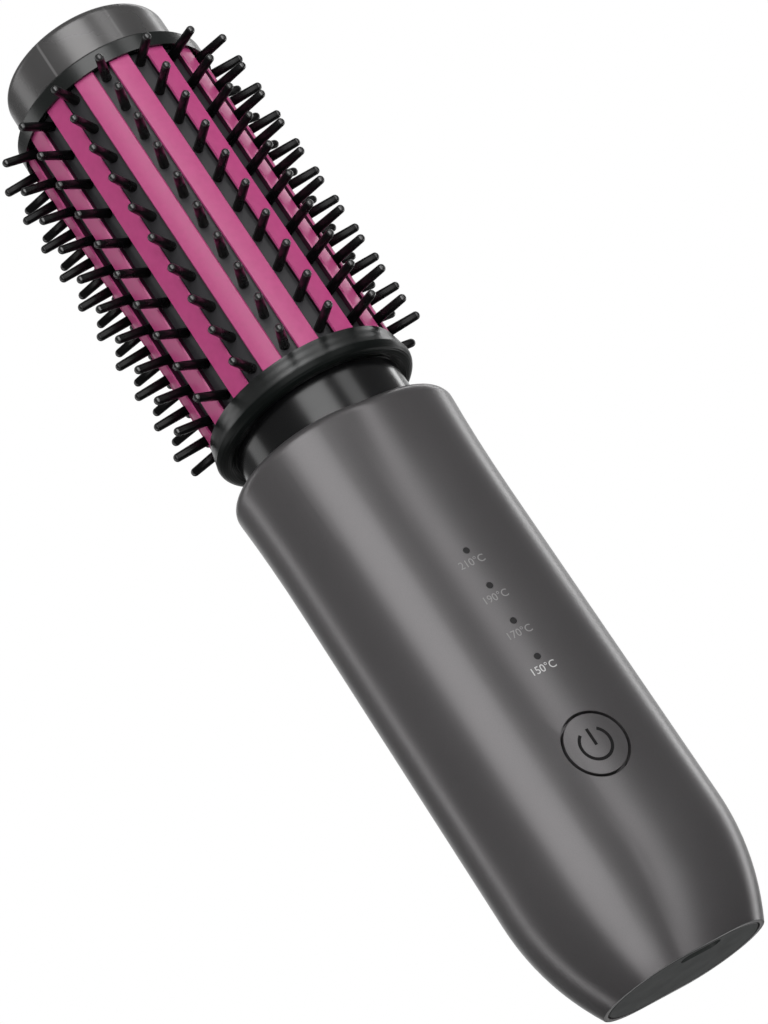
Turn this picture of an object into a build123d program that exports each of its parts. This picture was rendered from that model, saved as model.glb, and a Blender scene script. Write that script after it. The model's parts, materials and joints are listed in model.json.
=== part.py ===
from build123d import *
import math
import os

# Cordless heated round brush, in millimetres. The origin is the centre of the flat bottom face,
# +Z runs up through the handle and the barrel to the cool tip, and -Y is the button side.

os.makedirs("parts", exist_ok=True)

# ------------------------------------------------------------------ handle sizes
handle_length = 129.6  # bottom face to top edge
handle_flat = 10.4  # flat across front and back, between the two round sides
end_radius = 13.7  # side radius at the bottom face
belly_radius = 20.4
belly_height = 26.0
belly_fullness = 0.47  # where the foot's tangent meets the belly's, as a share of belly_height
waist_radius = 20.5
waist_drop = 26.5  # from the top edge down to the waist
top_flare = 0.8  # how much the sides widen from the waist to the top edge
top_round = 2.8
handle_wall = 2.4
mouth_depth = 8.0  # how far the neck goes into the handle
ledge_width = 2.2  # what the neck stands on inside the handle
ledge_height = 4.0

# ------------------------------------------------------------------ neck and barrel sizes
neck_radius = 19.9
neck_height = 9.2  # from the handle's top edge to the neck's rim
neck_wall = 2.0
flange_height = 6.0  # above the neck's rim
flange_overhang = 1.2  # flange rim beyond the ribs
barrel_length = 81.0
barrel_radius = 22.6  # over the ribs
rib_count = 16
rib_width = 5.2
rib_edge = 0.35
slot_depth = 3.0
slot_undercut = 0.75  # how much wider the dovetail is at its foot, on each side
barrel_wall = 2.4  # under the slots

# ------------------------------------------------------------------ bristle sizes
strip_recess = 1.6  # strip face below the rib tops
bristle_reach = 7.4  # bristle tip beyond the ribs
bristle_base = 2.3
bristle_tip = 1.9
bristle_sides = 6
bristle_dome = 0.5
bristle_pitch = 8.38
first_bristle = 2.8  # from the strip's lower end
last_margin = 2.5  # least strip beyond the last bristle

# ------------------------------------------------------------------ tip sizes
ring_overhang = 0.8  # shoulder ring beyond the ribs
ring_skirt = 0.7  # ring over the rib ends
ring_rim = 3.0  # straight rim above the rib ends
ring_bevel = 0.8
shoulder_height = 4.8
cap_radius = 19.9
cap_height = 11.6
cap_round = 2.6
cap_wall = 1.6

# ------------------------------------------------------------------ button and indicators
button_height = 42.7
button_hole = 14.3
button_gap = 0.65  # ring gap all round the button
button_travel = 0.4
button_flange = 0.9  # how far the flange reaches behind the handle wall
flange_thickness = 1.6
stem_radius = 2.2
switch_side = 6.0
switch_depth = 3.5
plunger_radius = 1.65
plunger_reach = 1.5  # in front of the switch housing
plunger_guide = 1.5  # inside it
light_height = 63.7  # lowest indicator
light_pitch = 8.75
light_count = 4
light_radius = 0.7

# ------------------------------------------------------------------ electronics sizes
port_setback = 9.5  # charging port's centre in front of the axis
port_width = 8.94
port_thickness = 3.2
port_length = 7.3
port_shell = 0.3
port_recess = 0.9
board_thickness = 1.0
board_width = 26.0
board_tongue = 14.0
board_tongue_height = 22.0
board_bottom = 2.6
board_headroom = 8.5  # from the board's top edge up to the neck
cell_radius = 9.2
cell_length = 65.2
cell_bottom = 34.0
cell_setback = 3.9  # cell axes behind the handle's axis
cell_gap = 0.2
tab_thickness = 0.3
tab_width = 6.0
chassis_width = 33.0
chassis_wall = 1.5
spine_thickness = 0.9
spine_bottom = 10.0
boss_height = 0.6  # screw bosses between the spine and the board
flange_plate = 3.0  # chassis plate under the neck
heater_width = 22.0
heater_thickness = 4.4
heater_length = 60.0

# ------------------------------------------------------------------ end plate sizes
end_rim = 1.0
end_thickness = 1.6
end_edge = 0.4
spigot_height = 4.0
spigot_wall = 1.4

# ------------------------------------------------------------------ clearances
slide_gap = 0.15  # parts that slide together and stay
seat_gap = 0.3
mouth_gap = 0.25  # neck in the handle's mouth
bore_gap = 0.1  # plunger in the switch
cell_clearance = 0.15  # cell in its cradle
tiny = 0.05

# ------------------------------------------------------------------ levels and radii that follow
waist_height = handle_length - waist_drop
mouth_radius = neck_radius + mouth_gap
ledge_level = handle_length - mouth_depth
neck_top = handle_length + neck_height
barrel_bottom = neck_top + flange_height
barrel_top = barrel_bottom + barrel_length
cap_base = barrel_top + shoulder_height
bore_radius = barrel_radius - slot_depth - barrel_wall
board_front = -port_setback + port_thickness / 2
board_back = board_front + board_thickness
board_top = ledge_level - board_headroom
spine_front = board_back + boss_height
spine_back = spine_front + spine_thickness
chassis_depth = mouth_radius - ledge_width - seat_gap
light_places = [(0, light_height + k * light_pitch) for k in range(light_count)]
row_angles = [-90 + k * 360 / rib_count for k in range(rib_count)]


def outer_half(inset):
    """Draws half of the handle's outline, drawn in by inset: side radius across, height up."""
    foot = (end_radius - inset, 0)
    shoulder = (belly_radius - inset, belly_fullness * belly_height)
    belly = (belly_radius - inset, belly_height)
    waist = (waist_radius - inset, waist_height)
    flared = (waist_radius + top_flare - inset, handle_length - top_round)
    top = (waist_radius + top_flare - inset - top_round, handle_length)
    Bezier(foot, shoulder, belly)
    Line(belly, waist)
    flare = TangentArc(waist, flared, tangent=(0, 1))
    TangentArc(flared, top, tangent=flare % 1)
    Polyline(top, (0, handle_length), (0, 0), foot)


def cavity_half(inset):
    """Draws half of the hollow inside the walls, in straight runs that a core can be drawn from."""
    bulge = (end_radius + 3 * belly_radius) / 4 - inset
    bulge_height = (2 * belly_fullness + 1) / 4 * belly_height
    ceiling = handle_length - inset
    Polyline(
        (0, 0),
        (end_radius - inset, 0),
        (bulge, bulge_height),
        (belly_radius - inset, belly_height),
        (waist_radius - inset, waist_height),
        (waist_radius - inset, ceiling),
        (0, ceiling),
        close=True,
    )


def handle_form(draw_half, inset):
    """A solid with the handle's section, two round sides joined by a flat middle, at each height."""
    half_flat = handle_flat / 2
    with BuildPart() as form:
        with BuildSketch(Plane((-half_flat, 0, 0), x_dir=(0, 1, 0), z_dir=(1, 0, 0))):
            with BuildLine():
                draw_half(inset)
            make_face()
            mirror(about=Plane.YZ)
        extrude(amount=handle_flat)
        for side in (1, -1):
            with BuildSketch(Plane((side * half_flat, 0, 0), x_dir=(0, -side, 0), z_dir=(-side, 0, 0))):
                with BuildLine():
                    draw_half(inset)
                make_face()
            axis = Axis((side * half_flat, 0, 0), (0, 0, 1))
            revolve(axis=axis, revolution_arc=180)
    return form.part


def obround(radius, mode=Mode.ADD):
    """Draws the handle's flat-sided section with side circles of this radius."""
    Rectangle(handle_flat, 2 * radius, mode=mode)
    with Locations((-handle_flat / 2, 0), (handle_flat / 2, 0)):
        Circle(radius, mode=mode)


def finish(part, name):
    """Labels a finished piece and writes its STEP file."""
    part.label = name
    export_step(part, f"parts/{name}.step")


outer_form = handle_form(outer_half, 0)

# ------------------------------------------------------------------ handle sleeve
# One seamless moulding. The neck drops in from above and stands on two ledges inside the mouth,
# the end plate closes the bottom against a step.
with BuildPart() as cavity:
    add(handle_form(cavity_half, handle_wall))
    with BuildSketch(Plane.XY.offset(ledge_level - ledge_height)):
        Rectangle(3 * belly_radius, 4 * belly_radius)
        Rectangle(3 * belly_radius, 2 * (mouth_radius - ledge_width), mode=Mode.SUBTRACT)
    extrude(amount=mouth_depth + ledge_height, mode=Mode.SUBTRACT)

with BuildPart() as handle_sleeve:
    add(outer_form)
    add(cavity.part, mode=Mode.SUBTRACT)
    with BuildSketch(Plane.XY.offset(ledge_level)):
        Circle(mouth_radius)
    extrude(amount=mouth_depth + top_round, mode=Mode.SUBTRACT)
    with BuildSketch():
        obround(end_radius - end_rim)
    extrude(amount=end_thickness, mode=Mode.SUBTRACT)
    with BuildSketch(Plane.XZ):
        with Locations((0, button_height)):
            Circle(button_hole / 2)
        with Locations(*light_places):
            Circle(light_radius + tiny)
    extrude(amount=2 * belly_radius, mode=Mode.SUBTRACT)
finish(handle_sleeve.part, "handle_sleeve")

# ------------------------------------------------------------------ end plate
# Closes the bottom. Two snap legs hook into the chassis and pull it down onto the ledges.
leg_width = 5.0
leg_thickness = 1.4
leg_length = 17.0
leg_gap = 0.5  # between a leg and the board's tongue
leg_x = board_tongue / 2 + leg_gap + leg_width / 2
leg_front = spine_back + bore_gap
hook_reach = 0.8
hook_rise = 3.2  # from the spine's lower end up to the hooks
hook_bottom = spine_bottom + hook_rise
hook_height = 1.8
plate_radius = end_radius - end_rim - slide_gap
spigot_radius = end_radius - handle_wall - slide_gap
notch_room = 3.0
spigot_notch = board_tongue + notch_room  # where the spigot makes room for the board and the port
with BuildPart() as end_plate:
    with BuildSketch():
        obround(plate_radius)
    extrude(amount=end_thickness)
    chamfer(end_plate.faces().sort_by(Axis.Z)[0].edges(), end_edge)
    with BuildSketch(Plane.XY.offset(end_thickness)):
        obround(spigot_radius)
        obround(spigot_radius - spigot_wall, mode=Mode.SUBTRACT)
        with Locations((0, -end_radius)):
            Rectangle(spigot_notch, 2 * end_radius + 2 * board_front, mode=Mode.SUBTRACT)
    extrude(amount=spigot_height)
    with BuildSketch(Plane.XY.offset(end_thickness)):
        with Locations(*[(side * leg_x, leg_front + leg_thickness / 2) for side in (-1, 1)]):
            Rectangle(leg_width, leg_thickness)
    extrude(amount=leg_length - end_thickness)
    for side in (-1, 1):
        inner_side = Plane.YZ.offset(side * leg_x - leg_width / 2)
        with BuildSketch(inner_side):
            with BuildLine():
                Polyline(
                    (leg_front, hook_bottom),
                    (leg_front - hook_reach, hook_bottom),
                    (leg_front, hook_bottom + hook_height),
                    close=True,
                )
            make_face()
        extrude(amount=leg_width)
    with BuildSketch():
        with Locations((0, -port_setback)):
            SlotOverall(port_width + 2 * seat_gap, port_thickness + 2 * seat_gap)
    extrude(amount=end_thickness, mode=Mode.SUBTRACT)
finish(end_plate.part, "end_plate")

# ------------------------------------------------------------------ chassis
# Carries the two cells behind a flat spine and the board in front of it. Its top plate is screwed
# up against the neck, and the hooks of the end plate catch in two windows at its foot.
cell_x = cell_radius + cell_gap / 2
cradle_bottom = cell_bottom - tab_thickness - chassis_wall
cell_top = cell_bottom + cell_length
cradle_top = cell_top + tab_thickness + chassis_wall
cradle_reach = 4.1  # how far the cradle's sides reach round the cells
shelf_reach = 5.0
cradle_back = cell_setback + cradle_reach
shelf_back = cradle_back + shelf_reach
board_screw_radius = 0.8
boss_side = 4.8
boss_depth = 3.0  # screw bosses behind the spine
screw_bite = 1.6  # how deep the board screws go into the bosses
screw_grip = boss_height + spine_thickness + screw_bite
screw_inset = 2.5  # from the board's side edge
screw_margin = 4.0  # from the board's top edge and the cradle
screw_x = board_width / 2 - screw_inset
screw_levels = (cradle_bottom - screw_margin, board_top - screw_margin)
screw_places = [(side * screw_x, level) for level in screw_levels for side in (-1, 1)]
neck_screw_inset = 6.3
neck_screw_circle = neck_radius - neck_screw_inset
neck_screw_radius = 1.4
neck_screw_head = 2.5
screw_head = 1.8  # height of the larger screws' heads
spine_side = 1.0  # spine beside the end plate's legs
mast_width = 30.0  # spine between the cradle and the top plate
mast_rib_width = 1.6
mast_rib_depth = 4.0
wire_hole = 5.0
wire_window_width = 10.0
wire_window_height = 4.0
window_drop = 2.5  # from the top plate down to the middle of the wires' window
window_level = ledge_level - flange_plate - window_drop
window_gap = 0.3
with BuildPart() as chassis:
    with BuildSketch(Plane.XY.offset(spine_bottom)):
        with Locations((0, (spine_front + spine_back) / 2)):
            Rectangle(2 * (leg_x + spine_side) + leg_width, spine_thickness)
    extrude(amount=cradle_bottom - spine_bottom)
    with BuildSketch(Plane.XY.offset(cradle_bottom)):
        with Locations((0, (spine_front + cradle_back) / 2)):
            Rectangle(chassis_width, cradle_back - spine_front)
        with Locations((-cell_x, cell_setback), (cell_x, cell_setback)):
            Circle(cell_radius + cell_clearance, mode=Mode.SUBTRACT)
    extrude(amount=cradle_top - cradle_bottom)
    for level in (cradle_bottom, cradle_top - chassis_wall):
        with BuildSketch(Plane.XY.offset(level)):
            with Locations((0, (spine_front + shelf_back) / 2)):
                Rectangle(chassis_width, shelf_back - spine_front)
            Circle(mouth_radius - seat_gap, mode=Mode.INTERSECT)
        extrude(amount=chassis_wall)
    with BuildSketch(Plane.XY.offset(cradle_top)):
        with Locations((0, (spine_front + spine_back) / 2)):
            Rectangle(mast_width, spine_thickness)
        with Locations((0, spine_back + mast_rib_depth / 2)):
            Rectangle(mast_rib_width, mast_rib_depth)
    extrude(amount=ledge_level - flange_plate - cradle_top)
    with BuildSketch(Plane.XY.offset(ledge_level - flange_plate)):
        Circle(mouth_radius - seat_gap)
        Rectangle(3 * mouth_radius, 2 * chassis_depth, mode=Mode.INTERSECT)
        Circle(wire_hole, mode=Mode.SUBTRACT)
        with PolarLocations(neck_screw_circle, 4, start_angle=45):
            Circle(neck_screw_radius + bore_gap, mode=Mode.SUBTRACT)
    extrude(amount=flange_plate)
    with BuildSketch(Plane.XY.offset(ledge_level - flange_plate)):
        with PolarLocations(neck_screw_circle, 4, start_angle=45):
            Circle(neck_screw_head + seat_gap)
    extrude(amount=-screw_head - seat_gap, mode=Mode.SUBTRACT)
    for level in (cell_bottom - tab_thickness, cell_top):
        with BuildSketch(Plane.XY.offset(level)):
            with Locations((0, cell_setback)):
                Rectangle(2 * cell_x + tab_width + seat_gap, tab_width + seat_gap)
        extrude(amount=tab_thickness, mode=Mode.SUBTRACT)
    with BuildSketch(Plane.XZ.offset(-board_back)):
        with Locations(*screw_places):
            Rectangle(boss_side, boss_side)
    extrude(amount=-boss_height - spine_thickness - boss_depth)
    with BuildSketch(Plane.XZ.offset(-board_back)):
        with Locations(*screw_places):
            Circle(board_screw_radius)
    extrude(amount=-screw_grip - window_gap, mode=Mode.SUBTRACT)
    with BuildSketch(Plane.XZ.offset(-spine_front)):
        with Locations(*[(side * leg_x, hook_bottom + hook_height / 2) for side in (-1, 1)]):
            Rectangle(leg_width + 2 * window_gap, hook_height + 2 * window_gap)
        with Locations((0, window_level)):
            Rectangle(wire_window_width, wire_window_height)
    extrude(amount=-spine_thickness, mode=Mode.SUBTRACT)
finish(chassis.part, "chassis")

# ------------------------------------------------------------------ cells and tabs
terminal_height = 0.8
terminal_radius = 3.0
cell_crimp = 1.2
for name, side in (("battery_cell_left", -1), ("battery_cell_right", 1)):
    with BuildPart() as cell:
        with BuildSketch(Plane.XY.offset(cell_bottom)):
            with Locations((side * cell_x, cell_setback)):
                Circle(cell_radius)
        extrude(amount=cell_length - terminal_height)
        chamfer(cell.faces().sort_by(Axis.Z)[-1].edges(), cell_crimp)
        with BuildSketch(Plane.XY.offset(cell_top - terminal_height)):
            with Locations((side * cell_x, cell_setback)):
                Circle(terminal_radius)
        extrude(amount=terminal_height)
    finish(cell.part, name)

with BuildPart() as cell_tabs:
    for level in (cell_bottom - tab_thickness, cell_top):
        with BuildSketch(Plane.XY.offset(level)):
            with Locations((0, cell_setback)):
                Rectangle(2 * cell_x + tab_width, tab_width)
        extrude(amount=tab_thickness)
finish(cell_tabs.part, "cell_tabs")

# ------------------------------------------------------------------ main board and what is on it
board_screw_head = 1.0
socket_floor = 1.0
contact_width = 6.6
contact_thickness = 0.7
contact_recess = 0.8
housing_floor = switch_depth - plunger_guide - button_travel
lamp_width = 1.6
lamp_length = 0.8
lamp_height = 0.6
with BuildPart() as main_board:
    with BuildSketch(Plane.XZ.offset(-board_back)):
        with Locations((0, (board_tongue_height + board_top) / 2)):
            Rectangle(board_width, board_top - board_tongue_height)
        with Locations((0, (board_bottom + board_tongue_height) / 2)):
            Rectangle(board_tongue, board_tongue_height - board_bottom)
        with Locations(*screw_places):
            Circle(board_screw_radius + bore_gap, mode=Mode.SUBTRACT)
    extrude(amount=board_thickness)
finish(main_board.part, "main_board")

with BuildPart() as board_screws:
    with BuildSketch(Plane.XZ.offset(-board_front)):
        with Locations(*screw_places):
            Circle(2 * board_screw_radius)
    extrude(amount=board_screw_head)
    with BuildSketch(Plane.XZ.offset(-board_front)):
        with Locations(*screw_places):
            Circle(board_screw_radius - tiny)
    extrude(amount=-board_thickness - screw_grip)
finish(board_screws.part, "board_screws")

with BuildPart() as charging_socket:
    with BuildSketch(Plane.XY.offset(port_recess)):
        with Locations((0, -port_setback)):
            SlotOverall(port_width, port_thickness)
    extrude(amount=port_length)
    with BuildSketch(Plane.XY.offset(port_recess)):
        with Locations((0, -port_setback)):
            SlotOverall(port_width - 2 * port_shell, port_thickness - 2 * port_shell)
    extrude(amount=port_length - socket_floor, mode=Mode.SUBTRACT)
    with BuildSketch(Plane.XY.offset(port_recess + contact_recess)):
        with Locations((0, -port_setback)):
            Rectangle(contact_width, contact_thickness)
    extrude(amount=port_length - contact_recess - socket_floor / 2)
finish(charging_socket.part, "charging_socket")

switch_front = board_front - switch_depth
with BuildPart() as switch_housing:
    with BuildSketch(Plane.XZ.offset(-board_front)):
        with Locations((0, button_height)):
            Rectangle(switch_side, switch_side)
    extrude(amount=switch_depth)
    with BuildSketch(Plane.XZ.offset(-switch_front)):
        with Locations((0, button_height)):
            Circle(plunger_radius + bore_gap)
    extrude(amount=housing_floor - switch_depth, mode=Mode.SUBTRACT)
finish(switch_housing.part, "switch_housing")

with BuildPart() as switch_plunger:
    with BuildSketch(Plane.XZ.offset(-switch_front + plunger_reach)):
        with Locations((0, button_height)):
            Circle(plunger_radius)
    extrude(amount=-plunger_reach - plunger_guide + bore_gap)
finish(switch_plunger.part, "switch_plunger")

with BuildPart() as status_leds:
    with BuildSketch(Plane.XZ.offset(-board_front)):
        with Locations(*light_places):
            Rectangle(lamp_width, lamp_length)
    extrude(amount=lamp_height)
finish(status_leds.part, "status_leds")

# The charger stands below the switch and the controller above it, and then come the heater's two
# power switches and their coil, on either side of the light guide.
component_x = 8.0
charger_side = 4.0
charger_level = 38.0
controller_side = 7.0
controller_level = 56.0
chip_height = 0.9
power_width = 6.5
power_length = 9.0
power_height = 2.3
power_level = 76.0
coil_radius = 3.6
coil_height = 3.4
coil_level = 92.0
with BuildPart() as board_components:
    with BuildSketch(Plane.XZ.offset(-board_front)):
        with Locations((component_x, charger_level)):
            Rectangle(charger_side, charger_side)
        with Locations((-component_x, controller_level)):
            Rectangle(controller_side, controller_side)
    extrude(amount=chip_height)
    with BuildSketch(Plane.XZ.offset(-board_front)):
        with Locations((-component_x, power_level), (component_x, power_level)):
            Rectangle(power_width, power_length)
    extrude(amount=power_height)
    with BuildSketch(Plane.XZ.offset(-board_front)):
        with Locations((component_x, coil_level)):
            Circle(coil_radius)
    extrude(amount=coil_height)
finish(board_components.part, "board_components")

# ------------------------------------------------------------------ light guide
# Clear moulding on two posts from the board. Its four pins end flush in the handle's face.
guide_bar_front = -(waist_radius - handle_wall - seat_gap)
guide_thickness = 1.4
guide_width = 5.0
guide_margin = 5.0
guide_post = 2.4
pipe_side = 1.6
pipe_gap = 0.4  # between a lamp and its light pipe
guide_bottom = light_height - guide_margin
guide_top = light_height + (light_count - 1) * light_pitch + guide_margin
with BuildPart() as light_guide:
    with BuildSketch(Plane.XZ.offset(-guide_bar_front)):
        with Locations((0, (guide_bottom + guide_top) / 2)):
            Rectangle(guide_width, guide_top - guide_bottom)
    extrude(amount=-guide_thickness)
    with BuildSketch(Plane.XZ.offset(-board_front)):
        with Locations((0, guide_bottom + guide_post / 2), (0, guide_top - guide_post / 2)):
            Rectangle(guide_post, guide_post)
    extrude(amount=board_front - guide_bar_front)
    with BuildSketch(Plane.XZ.offset(-board_front + lamp_height + pipe_gap)):
        with Locations(*light_places):
            Rectangle(pipe_side, pipe_side)
    extrude(amount=board_front - lamp_height - pipe_gap - guide_bar_front)
    with BuildSketch(Plane.XZ.offset(-guide_bar_front)):
        with Locations(*light_places):
            Circle(light_radius)
    extrude(amount=belly_radius + guide_bar_front)
    add(outer_form, mode=Mode.INTERSECT)
finish(light_guide.part, "light_guide")

# ------------------------------------------------------------------ power button
# Its face follows the handle's surface. A flange behind the handle wall keeps it in, and its stem
# stands on the switch plunger.
button_radius = button_hole / 2 - button_gap
flange_radius = button_hole / 2 + button_flange
plunger_front = switch_front - plunger_reach
stop_form = handle_form(outer_half, handle_wall + slide_gap)
with BuildPart() as power_button:
    with BuildSketch(Plane.XZ.offset(belly_radius - handle_wall - flange_thickness)):
        with Locations((0, button_height)):
            Circle(flange_radius)
    extrude(amount=2 * flange_thickness)
    add(stop_form, mode=Mode.INTERSECT)
    with BuildSketch(Plane.XZ.offset(belly_radius - handle_wall - flange_thickness)):
        with Locations((0, button_height)):
            Circle(button_radius)
    extrude(amount=2 * handle_wall + flange_thickness)
    add(outer_form, mode=Mode.INTERSECT)
    with BuildSketch(Plane.XZ.offset(-plunger_front)):
        with Locations((0, button_height)):
            Circle(stem_radius)
    extrude(amount=belly_radius - handle_wall + plunger_front)
finish(power_button.part, "power_button")

# ------------------------------------------------------------------ neck collar and its seal
# Glossy tube that stands on the ledges in the handle's mouth. A floor across it takes the four
# long screws, and a rubber ring in its groove seals it in the mouth.
collar_floor = 4.0
seal_width = 1.5
seal_rise = 3.5
seal_groove = 1.25
seal_level = ledge_level + seal_rise
seal_seat = neck_radius - seal_groove
collar_bore = neck_radius - neck_wall
with BuildPart() as neck_collar:
    with BuildSketch(Plane.XZ):
        with BuildLine():
            Polyline(
                (wire_hole, ledge_level),
                (neck_radius, ledge_level),
                (neck_radius, neck_top),
                (collar_bore, neck_top),
                (collar_bore, ledge_level + collar_floor),
                (wire_hole, ledge_level + collar_floor),
                close=True,
            )
        make_face()
        with Locations((neck_radius, seal_level)):
            Rectangle(2 * (neck_radius - seal_seat), seal_width + seat_gap, mode=Mode.SUBTRACT)
    revolve(axis=Axis.Z)
    with BuildSketch(Plane.XY.offset(ledge_level)):
        with PolarLocations(neck_screw_circle, 4, start_angle=45):
            Circle(neck_screw_radius + bore_gap)
    extrude(amount=collar_floor, mode=Mode.SUBTRACT)
finish(neck_collar.part, "neck_collar")

with BuildPart() as neck_seal:
    with BuildSketch(Plane.XY.offset(seal_level - seal_width / 2)):
        Circle(mouth_radius - tiny)
        Circle(seal_seat + tiny, mode=Mode.SUBTRACT)
    extrude(amount=seal_width)
finish(neck_seal.part, "neck_seal")

# ------------------------------------------------------------------ lower flange
# Heat-resistant moulding on the neck's rim, with a rounded lip that hangs a little below it. Four
# posts reach down to the neck's floor for the screws, a spigot centres the barrel, and a pocket
# holds the heat barrier.
rim_radius = barrel_radius + flange_overhang
rim_rise = 1.5  # widest level above the neck's rim
rim_round = 2.0
lip_width = 0.5
shelf_rise = 0.7
rim_level = neck_top + rim_rise
shelf_bottom = neck_top + shelf_rise
shelf_thickness = 3.0
flange_spigot = 5.0
flange_wall = 2.2
barrel_spigot = 3.0
spigot_outer = collar_bore - slide_gap
spigot_inner = spigot_outer - flange_wall
barrier_radius = bore_radius - slide_gap - flange_wall
shelf_top = shelf_bottom + shelf_thickness
barrier_thickness = barrel_bottom - shelf_top
heater_screw_radius = 1.2
heater_screw_head = 2.1
heater_screw_margin = 4.95  # from the screw's axis to the flange's inner wall
heater_screw_y = spigot_inner - heater_screw_margin
screw_land = 3.0  # shelf between the screw's axis and the hole for the wires
wire_ring = heater_screw_y - screw_land
lead_spread = 0.5
lead_radius = 0.8
lead_clearance = 0.4
lead_x = (wire_ring - lead_spread) / 2
post_radius = 2.7
with BuildPart() as lower_flange:
    with BuildSketch(Plane.XZ):
        with BuildLine():
            rim = (rim_radius, rim_level)
            lip = (rim_radius - rim_round, rim_level - rim_round)
            TangentArc(rim, lip, tangent=(0, -1))
            Polyline(
                lip,
                (lip[0] - lip_width, lip[1]),
                (neck_radius + slide_gap, neck_top),
                (spigot_outer, neck_top),
                (spigot_outer, neck_top - flange_spigot),
                (spigot_inner, neck_top - flange_spigot),
                (spigot_inner, shelf_bottom),
                (wire_ring, shelf_bottom),
                (wire_ring, shelf_top),
                (barrier_radius + slide_gap, shelf_top),
                (barrier_radius + slide_gap, barrel_bottom + barrel_spigot),
                (bore_radius - slide_gap, barrel_bottom + barrel_spigot),
                (bore_radius - slide_gap, barrel_bottom),
                (barrel_radius + slide_gap, barrel_bottom),
                rim,
            )
        make_face()
    revolve(axis=Axis.Z)
    with BuildSketch(Plane.XY.offset(ledge_level + collar_floor)):
        with PolarLocations(neck_screw_circle, 4, start_angle=45):
            Circle(post_radius)
    extrude(amount=shelf_bottom - ledge_level - collar_floor)
    with BuildSketch(Plane.XY.offset(ledge_level + collar_floor)):
        with PolarLocations(neck_screw_circle, 4, start_angle=45):
            Circle(neck_screw_radius)
    extrude(amount=shelf_bottom - ledge_level - collar_floor, mode=Mode.SUBTRACT)
    with BuildSketch(Plane.XY.offset(shelf_bottom)):
        with Locations((0, -heater_screw_y), (0, heater_screw_y)):
            Circle(heater_screw_radius + bore_gap)
    extrude(amount=shelf_thickness, mode=Mode.SUBTRACT)
finish(lower_flange.part, "lower_flange")

screw_cover = 1.0  # flange above the long screws' ends
neck_screw_end = shelf_bottom - screw_cover
with BuildPart() as neck_screws:
    with BuildSketch(Plane.XY.offset(ledge_level - flange_plate - screw_head)):
        with PolarLocations(neck_screw_circle, 4, start_angle=45):
            Circle(neck_screw_head)
    extrude(amount=screw_head)
    with BuildSketch(Plane.XY.offset(ledge_level - flange_plate)):
        with PolarLocations(neck_screw_circle, 4, start_angle=45):
            Circle(neck_screw_radius - tiny)
    extrude(amount=neck_screw_end - ledge_level + flange_plate)
finish(neck_screws.part, "neck_screws")

# ------------------------------------------------------------------ heating barrel
# Aluminium extrusion with a ring of heating ribs. Between the ribs run dovetail slots, which the
# bristle strips slide into from the end.
half_rib_angle = math.degrees(math.asin(rib_width / 2 / barrel_radius))
mouth_angle = 180 / rib_count - half_rib_angle
slot_mouth = 2 * barrel_radius * math.sin(math.radians(mouth_angle))
slot_floor = barrel_radius - slot_depth
slot_foot = slot_mouth + 2 * slot_undercut
slot_overcut = 1.0  # cut on past the rib tops


def dovetail(gap, top):
    """Draws the dovetail section, smaller by gap all round, from the slot's floor up to top."""
    shrink = gap / math.cos(math.atan(slot_undercut / slot_depth))
    floor = slot_floor + gap
    lean = slot_undercut / slot_depth
    foot_half = slot_foot / 2 - lean * gap - shrink
    top_half = foot_half - lean * (top - floor)
    Polygon(
        (floor, -foot_half),
        (top, -top_half),
        (top, top_half),
        (floor, foot_half),
        align=None,
    )


with BuildSketch() as slot:
    dovetail(0, barrel_radius + slot_overcut)

with BuildPart() as heating_barrel:
    with BuildSketch(Plane.XY.offset(barrel_bottom)):
        Circle(barrel_radius)
        Circle(bore_radius, mode=Mode.SUBTRACT)
        with PolarLocations(0, rib_count, start_angle=row_angles[0]):
            add(slot.sketch, mode=Mode.SUBTRACT)
    extrude(amount=barrel_length)
    rib_edges = heating_barrel.edges().filter_by(Axis.Z).filter_by(
        lambda edge: math.hypot(edge.center().X, edge.center().Y) > barrel_radius - tiny
    )
    chamfer(rib_edges, rib_edge)
finish(heating_barrel.part, "heating_barrel")

# ------------------------------------------------------------------ bristle rows
# A dovetail strip of heat-proof nylon for each slot, and the bristles that stand on it: tapered,
# with domed tips. All rows are alike and their bristles line up in rings round the barrel.
strip_top = barrel_radius - strip_recess
strip_length = barrel_length - 2 * slide_gap
bristle_count = int((barrel_length - first_bristle - last_margin) / bristle_pitch) + 1
bristle_levels = [barrel_bottom + first_bristle + k * bristle_pitch for k in range(bristle_count)]
bristle_length = barrel_radius + bristle_reach - strip_top
bristle_taper = math.degrees(math.atan((bristle_base - bristle_tip) / 2 / bristle_length))
with BuildPart() as bristle:
    with BuildSketch():
        RegularPolygon(bristle_base / 2, bristle_sides)
    extrude(amount=bristle_length, taper=bristle_taper)
    chamfer(bristle.faces().sort_by(Axis.Z)[-1].edges(), bristle_dome)

for number, angle in enumerate(row_angles, start=1):
    out = Vector(1, 0, 0).rotate(Axis.Z, angle)
    with BuildPart() as strip:
        with BuildSketch(Plane((0, 0, barrel_bottom + slide_gap), x_dir=out, z_dir=(0, 0, 1))):
            dovetail(slide_gap, strip_top)
        extrude(amount=strip_length)
    with BuildPart() as bristles:
        roots = [out * strip_top + (0, 0, level) for level in bristle_levels]
        with Locations(*[Plane(root, x_dir=(0, 0, 1), z_dir=out) for root in roots]):
            add(bristle.part)
    row = Compound(children=[*strip.part.solids(), *bristles.part.solids()])
    finish(row, f"bristle_row_{number:02d}")

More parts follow.
